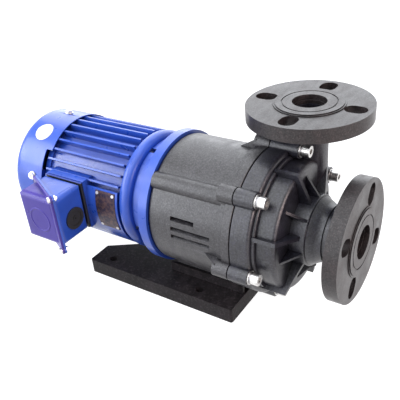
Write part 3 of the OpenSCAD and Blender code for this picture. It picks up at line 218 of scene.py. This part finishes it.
class Finish:
    """A Principled material, with helpers that add the nodes its surface detail needs."""

    def __init__(self, name, **sockets):
        self.material = bpy.data.materials.new(name)
        self.material.use_nodes = True
        self.tree = self.material.node_tree
        self.inputs = self.tree.nodes["Principled BSDF"].inputs
        for socket, value in sockets.items():
            plug(self.tree, value, self.inputs[socket.replace("_", " ")])
        coordinates = self.add("ShaderNodeTexCoord").outputs
        self.place = coordinates["Object"]
        self.facing = coordinates["Normal"]

    def add(self, kind, **inputs):
        node = self.tree.nodes.new(kind)
        for socket, value in inputs.items():
            plug(self.tree, value, node.inputs[socket.replace("_", " ")])
        return node

    def noise(self, cells, detail=CLOUD_DETAIL, place=None):
        """Cloudy pattern from 0 to 1, with this many cells in a metre."""
        node = self.add("ShaderNodeTexNoise", Vector=place or self.place, Scale=cells, Detail=detail)
        return node.outputs["Fac"]

    def drawn_out(self, squeeze):
        """The place on the surface, squeezed across the shaft, so that a pattern is drawn out that way."""
        node = self.add("ShaderNodeMapping", Vector=self.place, Scale=(1.0, squeeze, squeeze))
        return node.outputs["Vector"]

    def span(self, value, low, high, to_low=0.0, to_high=1.0):
        """Value rescaled from low..high to to_low..to_high, held at the ends."""
        ends = {"From_Min": low, "From_Max": high, "To_Min": to_low, "To_Max": to_high}
        return self.add("ShaderNodeMapRange", Value=value, **ends).outputs["Result"]

    def mix(self, share, first, second):
        return mix_colours(self.tree, share, first, second)

    def product(self, first, second):
        return combine(self.tree, "MULTIPLY", first, second)

    def crevice(self, reach):
        """0 in corners and grooves as narrow as this many metres, 1 on open faces."""
        node = self.add("ShaderNodeAmbientOcclusion", Distance=reach)
        node.samples = CREVICE_SAMPLES
        return node.outputs["AO"]

    def colour(self, value):
        plug(self.tree, value, self.inputs["Base Color"])

    def gloss(self, value):
        plug(self.tree, value, self.inputs["Specular IOR Level"])

    def roughness(self, value):
        plug(self.tree, value, self.inputs["Roughness"])

    def uneven_roughness(self, cells, smooth, rough):
        """Roughness that wanders between smooth and rough."""
        self.roughness(self.span(self.noise(cells), *PATCH, smooth, rough))

    def relief(self, cells, depth, strength=0.3, detail=GRAIN_DETAIL, place=None):
        """Noise as relief of this depth in metres. A second call lies on top of the first."""
        height = self.noise(cells, detail, place)
        node = self.add("ShaderNodeBump", Height=height, Strength=strength, Distance=depth)
        for below in self.inputs["Normal"].links:
            self.tree.links.new(below.from_socket, node.inputs["Normal"])
        self.tree.links.new(node.outputs["Normal"], self.inputs["Normal"])


def times(factor, colour):
    return tuple(factor * part for part in colour)


# Enamel: how far a corner's painted shade reaches in metres, and where that shade is full and where it ends
CORNER_SHADE_REACH = 0.012
CORNER_SHADE_RIM = (0.25, 0.85)


def blue_enamel(name, deep, pale, corner_shade, gloss, coat):
    """Gloss enamel with a little orange peel, darkened in the corners by painted shade."""
    finish = Finish(name, Specular_IOR_Level=gloss, Coat_Weight=coat, Coat_Roughness=0.12)
    body = finish.mix(finish.span(finish.noise(cells=28.0), *PATCH), deep, pale)
    # Painted shade: the colour turns to corner_shade in corners and between fins, worked out from ambient
    # occlusion
    corner = finish.span(finish.crevice(CORNER_SHADE_REACH), *CORNER_SHADE_RIM)
    finish.colour(finish.mix(corner, corner_shade, body))
    finish.uneven_roughness(cells=60.0, smooth=0.26, rough=0.40)
    finish.relief(cells=420.0, depth=0.0004, strength=0.12)
    return finish.material


# Moulded plastic: rims of its clouds and specks, how far flow marks are drawn out, how much paler a speck is
# than the body, how far the painted shade in grooves and narrow corners reaches in metres, its rim and what
# it leaves of colour and gloss, and how far the gloss wanders
CLOUD_RIM = (0.32, 0.68)
FLOW_SQUEEZE = 0.35
SPECK_RIM = (0.52, 0.74)
SPECK_PALER = 2.4
GROOVE_SHADE_REACH = 0.0016
GROOVE_SHADE_RIM = (0.3, 0.85)
GROOVE_SHADE_COLOUR = 0.25
GROOVE_SHADE_GLOSS = 0.15
SHEEN_RANGE = (0.72, 1.20)


def moulded_plastic(name, dark, light, smooth, rough, gloss=1.0, dust=0.4, speck_cells=620.0):
    """Glass-filled moulding: flow marks, grain, pale specks of fibre and dust, and an uneven sheen."""
    finish = Finish(name)
    cloud = finish.span(finish.noise(cells=26.0, detail=5.0), *CLOUD_RIM)
    flow_noise = finish.noise(cells=120.0, detail=4.0, place=finish.drawn_out(FLOW_SQUEEZE))
    flow = finish.span(flow_noise, *PATCH)
    body = finish.mix(finish.product(cloud, flow), dark, light)
    speck = finish.span(finish.noise(speck_cells, GRAIN_DETAIL), *SPECK_RIM, 0.0, dust)
    speckled = finish.mix(speck, body, times(SPECK_PALER, light))
    # Painted shade: grooves and narrow corners get a darker colour and less gloss, worked out from ambient
    # occlusion
    groove_shade = finish.span(finish.crevice(GROOVE_SHADE_REACH), *GROOVE_SHADE_RIM)
    finish.colour(finish.mix(groove_shade, times(GROOVE_SHADE_COLOUR, dark), speckled))
    sheen = finish.span(finish.noise(cells=480.0, detail=4.0), *PATCH, *SHEEN_RANGE)
    finish.gloss(finish.product(sheen, finish.span(groove_shade, 0.0, 1.0, GROOVE_SHADE_GLOSS * gloss, gloss)))
    finish.roughness(finish.span(flow, 0.0, 1.0, smooth, rough))
    finish.relief(cells=700.0, depth=0.0003, detail=3.0)
    finish.relief(cells=60.0, depth=0.0010, strength=0.12, detail=3.0)
    return finish.material


# Bare steel: rim of a stain, what it leaves of the colour, and how far turning marks are drawn out
STAIN_RIM = (0.35, 0.7)
STAIN_COLOUR = 0.72
STREAK_SQUEEZE = 0.15


def bright_steel(name, colour, smooth, rough, streak_cells):
    """Bare metal with fine turning marks and faint handling stains."""
    finish = Finish(name, Metallic=1.0)
    stain = finish.span(finish.noise(cells=160.0), *STAIN_RIM)
    finish.colour(finish.mix(stain, times(STAIN_COLOUR, colour), colour))
    finish.uneven_roughness(cells=240.0, smooth=smooth, rough=rough)
    finish.relief(streak_cells, depth=0.0002, strength=0.15, place=finish.drawn_out(STREAK_SQUEEZE))
    return finish.material


# Plain finishes: what a cloud leaves of the colour
CLOUD_COLOUR = 0.8


def plain_finish(name, colour, smooth, rough, grain_cells, depth, **sockets):
    """One colour with a little cloud, an uneven sheen and a grain."""
    finish = Finish(name, **sockets)
    cloud = finish.span(finish.noise(cells=80.0), *PATCH)
    finish.colour(finish.mix(cloud, times(CLOUD_COLOUR, colour), colour))
    finish.uneven_roughness(cells=120.0, smooth=smooth, rough=rough)
    finish.relief(grain_cells, depth)
    return finish.material


# Worn plate: rim of its bright patches
WORN_RIM = (0.40, 0.62)


def worn_plate(name, dull, bright):
    """Thin metal plate, dulled in patches."""
    finish = Finish(name, Metallic=0.3, Specular_IOR_Level=0.3)
    patch = finish.span(finish.noise(cells=260.0, detail=4.0), *WORN_RIM)
    finish.colour(finish.mix(patch, dull, bright))
    finish.uneven_roughness(cells=120.0, smooth=0.30, rough=0.45)
    finish.relief(cells=900.0, depth=0.0002)
    return finish.material


# Overspray: how far up a face looks where the paint starts and where it covers
PAINTED_SLOPE = (0.3, 0.7)


def oversprayed_rubber(name, rubber, paint):
    """Rubber with the motor's paint on the faces that look up."""
    finish = Finish(name)
    up = finish.add("ShaderNodeSeparateXYZ", Vector=finish.facing).outputs["Z"]
    finish.colour(finish.mix(finish.span(up, *PAINTED_SLOPE), rubber, paint))
    finish.uneven_roughness(cells=120.0, smooth=0.40, rough=0.55)
    finish.relief(cells=1200.0, depth=0.0003)
    return finish.material


# Finish of each material slot
FINISHES = {
    "black_plastic": lambda: moulded_plastic(
        "black_moulding", dark=(0.009, 0.0083, 0.0097), light=(0.025, 0.0235, 0.0275),
        smooth=0.34, rough=0.52, gloss=0.75, dust=0.8),
    # The flange moulding is tinted reddish brown: a painted warm reflection on dark plastic
    "flange_plastic": lambda: moulded_plastic(
        "flange_moulding_painted_reflection", dark=(0.010, 0.0083, 0.0088), light=(0.029, 0.0225, 0.0225),
        smooth=0.30, rough=0.46, gloss=0.44, dust=0.6),
    "impeller_plastic": lambda: moulded_plastic(
        "impeller_moulding", dark=(0.06, 0.06, 0.065), light=(0.09, 0.09, 0.095), smooth=0.42, rough=0.55),
    "fan_plastic": lambda: moulded_plastic(
        "fan_moulding", dark=(0.028, 0.028, 0.03), light=(0.04, 0.04, 0.045), smooth=0.42, rough=0.55),
    "motor_paint": lambda: blue_enamel(
        "motor_enamel", deep=(0.018, 0.066, 0.375), pale=(0.028, 0.094, 0.50),
        corner_shade=(0.009, 0.030, 0.21), gloss=0.45, coat=0.20),
    "stainless": lambda: bright_steel(
        "stainless", (0.80, 0.79, 0.77), smooth=0.26, rough=0.40, streak_cells=2600.0),
    "spring_steel": lambda: bright_steel(
        "spring_steel", (0.36, 0.36, 0.37), smooth=0.25, rough=0.40, streak_cells=2600.0),
    "core_steel": lambda: bright_steel(
        "core_steel", (0.26, 0.26, 0.27), smooth=0.40, rough=0.55, streak_cells=3200.0),
    "cast_aluminium": lambda: bright_steel(
        "cast_aluminium", (0.70, 0.70, 0.71), smooth=0.38, rough=0.55, streak_cells=900.0),
    "brass_studs": lambda: bright_steel(
        "brass_studs", (0.72, 0.52, 0.20), smooth=0.22, rough=0.38, streak_cells=2600.0),
    "copper_winding": lambda: plain_finish(
        "copper_winding", (0.48, 0.20, 0.08), smooth=0.25, rough=0.4,
        grain_cells=1600.0, depth=0.0012, Metallic=0.8),
    "magnet": lambda: plain_finish(
        "magnet", (0.20, 0.19, 0.19), smooth=0.45, rough=0.6,
        grain_cells=2400.0, depth=0.0003, Metallic=0.7),
    "ceramic_white": lambda: plain_finish(
        "ceramic", (0.84, 0.81, 0.74), smooth=0.30, rough=0.42, grain_cells=2000.0, depth=0.0001),
    "carbon": lambda: plain_finish(
        "carbon", (0.05, 0.05, 0.055), smooth=0.42, rough=0.55, grain_cells=2000.0, depth=0.0002),
    "black_rubber": lambda: plain_finish(
        "black_rubber", (0.012, 0.012, 0.013), smooth=0.48, rough=0.62, grain_cells=1200.0, depth=0.0003),
    "plug_plastic": lambda: plain_finish(
        "plug_plastic", (0.018, 0.018, 0.018), smooth=0.40, rough=0.5, grain_cells=1200.0, depth=0.0002),
    "white_label": lambda: plain_finish(
        "white_label", (0.86, 0.86, 0.86), smooth=0.40, rough=0.5, grain_cells=1400.0, depth=0.0001),
    "plate_bronze": lambda: worn_plate(
        "plate_bronze", dull=(0.030, 0.024, 0.044), bright=(0.105, 0.062, 0.060)),
}

# Pieces that do not look like the rest of their material: the box's cover is a little more violet, the
# gasket caught some of the motor's paint, the casing is darker and smoother than the bracket, the base is
# duller, and the rivets are soft aluminium
OWN_FINISHES = {
    "terminal_box_cover": lambda: blue_enamel(
        "cover_enamel", deep=(0.046, 0.030, 0.22), pale=(0.062, 0.044, 0.29),
        corner_shade=(0.018, 0.012, 0.10), gloss=0.22, coat=0.04),
    "terminal_box_gasket": lambda: oversprayed_rubber(
        "gasket_rubber", rubber=(0.012, 0.012, 0.013), paint=(0.016, 0.044, 0.27)),
    # The casing moulding's bluish tint is a painted cool reflection
    "front_casing": lambda: moulded_plastic(
        "casing_moulding", dark=(0.0060, 0.0060, 0.0088), light=(0.0180, 0.0180, 0.0275),
        smooth=0.28, rough=0.44, gloss=0.68, dust=0.7),
    "base_plate": lambda: moulded_plastic(
        "base_moulding", dark=(0.008, 0.007, 0.0075), light=(0.026, 0.022, 0.024),
        smooth=0.44, rough=0.60, gloss=0.14, dust=0.45, speck_cells=330.0),
    "nameplate_rivets": lambda: plain_finish(
        "rivet_aluminium", (0.80, 0.80, 0.80), smooth=0.30, rough=0.42,
        grain_cells=2000.0, depth=0.0001, Metallic=0.4),
}


def dress_nodes():
    made = {slot: make() for slot, make in FINISHES.items()}
    for part in frame["record"]["subparts"]:
        mesh = nodes[part["node"]].data
        mesh.materials.clear()
        own = OWN_FINISHES.get(part["node"])
        mesh.materials.append(own() if own else made[part["material_slot"]])


# Faces that meet at more than this angle form an edge
EDGE_ANGLE = math.radians(35)
RING_STEPS = 128


def ring_piece(name, profile, place, like):
    """Closed ring, turned from a profile of (along the axis, radius) points and dressed like a CAD node."""
    count = len(profile)
    points = []
    faces = []
    for i in range(RING_STEPS):
        turn = 2 * math.pi * i / RING_STEPS
        for along, radius in profile:
            points.append(place(along, radius * math.cos(turn), radius * math.sin(turn)))
        here = i * count
        after = (i + 1) % RING_STEPS * count
        for j in range(count):
            k = (j + 1) % count
            faces.append((here + j, here + k, after + k, after + j))
    mesh = bpy.data.meshes.new(name)
    mesh.from_pydata(points, [], faces)
    mesh.shade_smooth()
    mesh.set_sharp_from_angle(angle=EDGE_ANGLE)
    mesh.materials.append(nodes[like].data.materials[0])
    ring = bpy.data.objects.new(name, mesh)
    scene.collection.objects.link(ring)
    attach(ring, "housing")


# Plain ring pressed into the front of the terminal box
EMBLEM_CENTRE = Vector((-0.1045, -0.1273, 0.1165))
EMBLEM_RADIUS = 0.0155
EMBLEM_HALF_WIDTH = 0.0016
EMBLEM_HEIGHT = 0.0010
EMBLEM_SINK = 0.0004
BEAD_STEPS = 8


def press_emblem():
    profile = []
    for j in range(BEAD_STEPS + 1):
        angle = math.pi * j / BEAD_STEPS
        out = EMBLEM_HEIGHT * math.sin(angle) - EMBLEM_SINK
        profile.append((out, EMBLEM_RADIUS + EMBLEM_HALF_WIDTH * math.cos(angle)))
    ring_piece("box_emblem_ring", profile, lambda out, x, z: EMBLEM_CENTRE + Vector((x, -out, z)),
               "terminal_box_cover")


# Moulded lip around the bracket's front, level with the casing's rim
SHAFT_HEIGHT = 0.115
LIP_WIDTH = 0.0105
LIP_RADIUS = 0.0846
LIP_ROOT_RADIUS = 0.0805
LIP_EDGE = 0.0006


def mould_lip():
    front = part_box("bracket")[1].x
    back = front - LIP_WIDTH
    profile = [
        (back, LIP_ROOT_RADIUS), (back, LIP_RADIUS - LIP_EDGE), (back + LIP_EDGE, LIP_RADIUS),
        (front - LIP_EDGE, LIP_RADIUS), (front, LIP_RADIUS - LIP_EDGE), (front, LIP_ROOT_RADIUS),
    ]
    ring_piece("bracket_front_lip", profile, lambda x, y, z: Vector((x, y, SHAFT_HEIGHT + z)),
               "bracket")


# Softened edges: radius in metres for the pieces that show
EDGE_RADII = {
    "base_plate": 0.0020, "bracket": 0.0006, "front_casing": 0.0006,
    "suction_flange": 0.0009, "discharge_flange": 0.0009,
    "front_end_shield": 0.0010, "motor_frame": 0.0005, "fan_cover": 0.0004,
    "casing_bolts": 0.0005, "casing_washers": 0.0002, "casing_spring_washers": 0.0003,
    "terminal_box_base": 0.0006, "terminal_box_cover": 0.0006, "terminal_box_gasket": 0.0004,
    "cable_entry_plug": 0.0004, "terminal_box_screws": 0.0003, "fan_cover_screws": 0.0004,
    "drain_plug": 0.0005, "nameplate_rivets": 0.0003,
}
EDGE_SEGMENTS = 2
WELD_REACH = 0.00001


def joined_faces():
    """Geometry nodes that join a mesh's faces where they meet and shade it smooth up to the edge angle."""
    group = bpy.data.node_groups.new("joined_faces", "GeometryNodeTree")
    for way in ("INPUT", "OUTPUT"):
        group.interface.new_socket("Geometry", in_out=way, socket_type="NodeSocketGeometry")
    start = group.nodes.new("NodeGroupInput")
    end = group.nodes.new("NodeGroupOutput")
    weld = group.nodes.new("GeometryNodeMergeByDistance")
    weld.inputs["Distance"].default_value = WELD_REACH
    angle = group.nodes.new("GeometryNodeInputMeshEdgeAngle")
    sharp = group.nodes.new("FunctionNodeCompare")
    sharp.operation = "GREATER_THAN"
    sharp.inputs["B"].default_value = EDGE_ANGLE
    shade = group.nodes.new("GeometryNodeSetMeshNormal")
    shade.mode = "SHARPNESS"
    shade.inputs["Remove Custom"].default_value = True
    shade.inputs["Face Sharpness"].default_value = False
    for source, target in (
        (start.outputs["Geometry"], weld.inputs["Geometry"]),
        (weld.outputs["Geometry"], shade.inputs["Mesh"]),
        (angle.outputs["Unsigned Angle"], sharp.inputs["A"]),
        (sharp.outputs["Result"], shade.inputs["Edge Sharpness"]),
        (shade.outputs["Mesh"], end.inputs["Geometry"]),
    ):
        group.links.new(source, target)
    return group


def soften_edges():
    join = joined_faces()
    for name, radius in EDGE_RADII.items():
        nodes[name].modifiers.new("joined", "NODES").node_group = join
        bevel = nodes[name].modifiers.new("edges", "BEVEL")
        bevel.width = radius
        bevel.segments = EDGE_SEGMENTS
        bevel.limit_method = "ANGLE"
        bevel.angle_limit = EDGE_ANGLE
        bevel.harden_normals = True


make_camera()
make_lights()
make_world()
make_floor()
dress_nodes()
press_emblem()
mould_lip()
soften_edges()
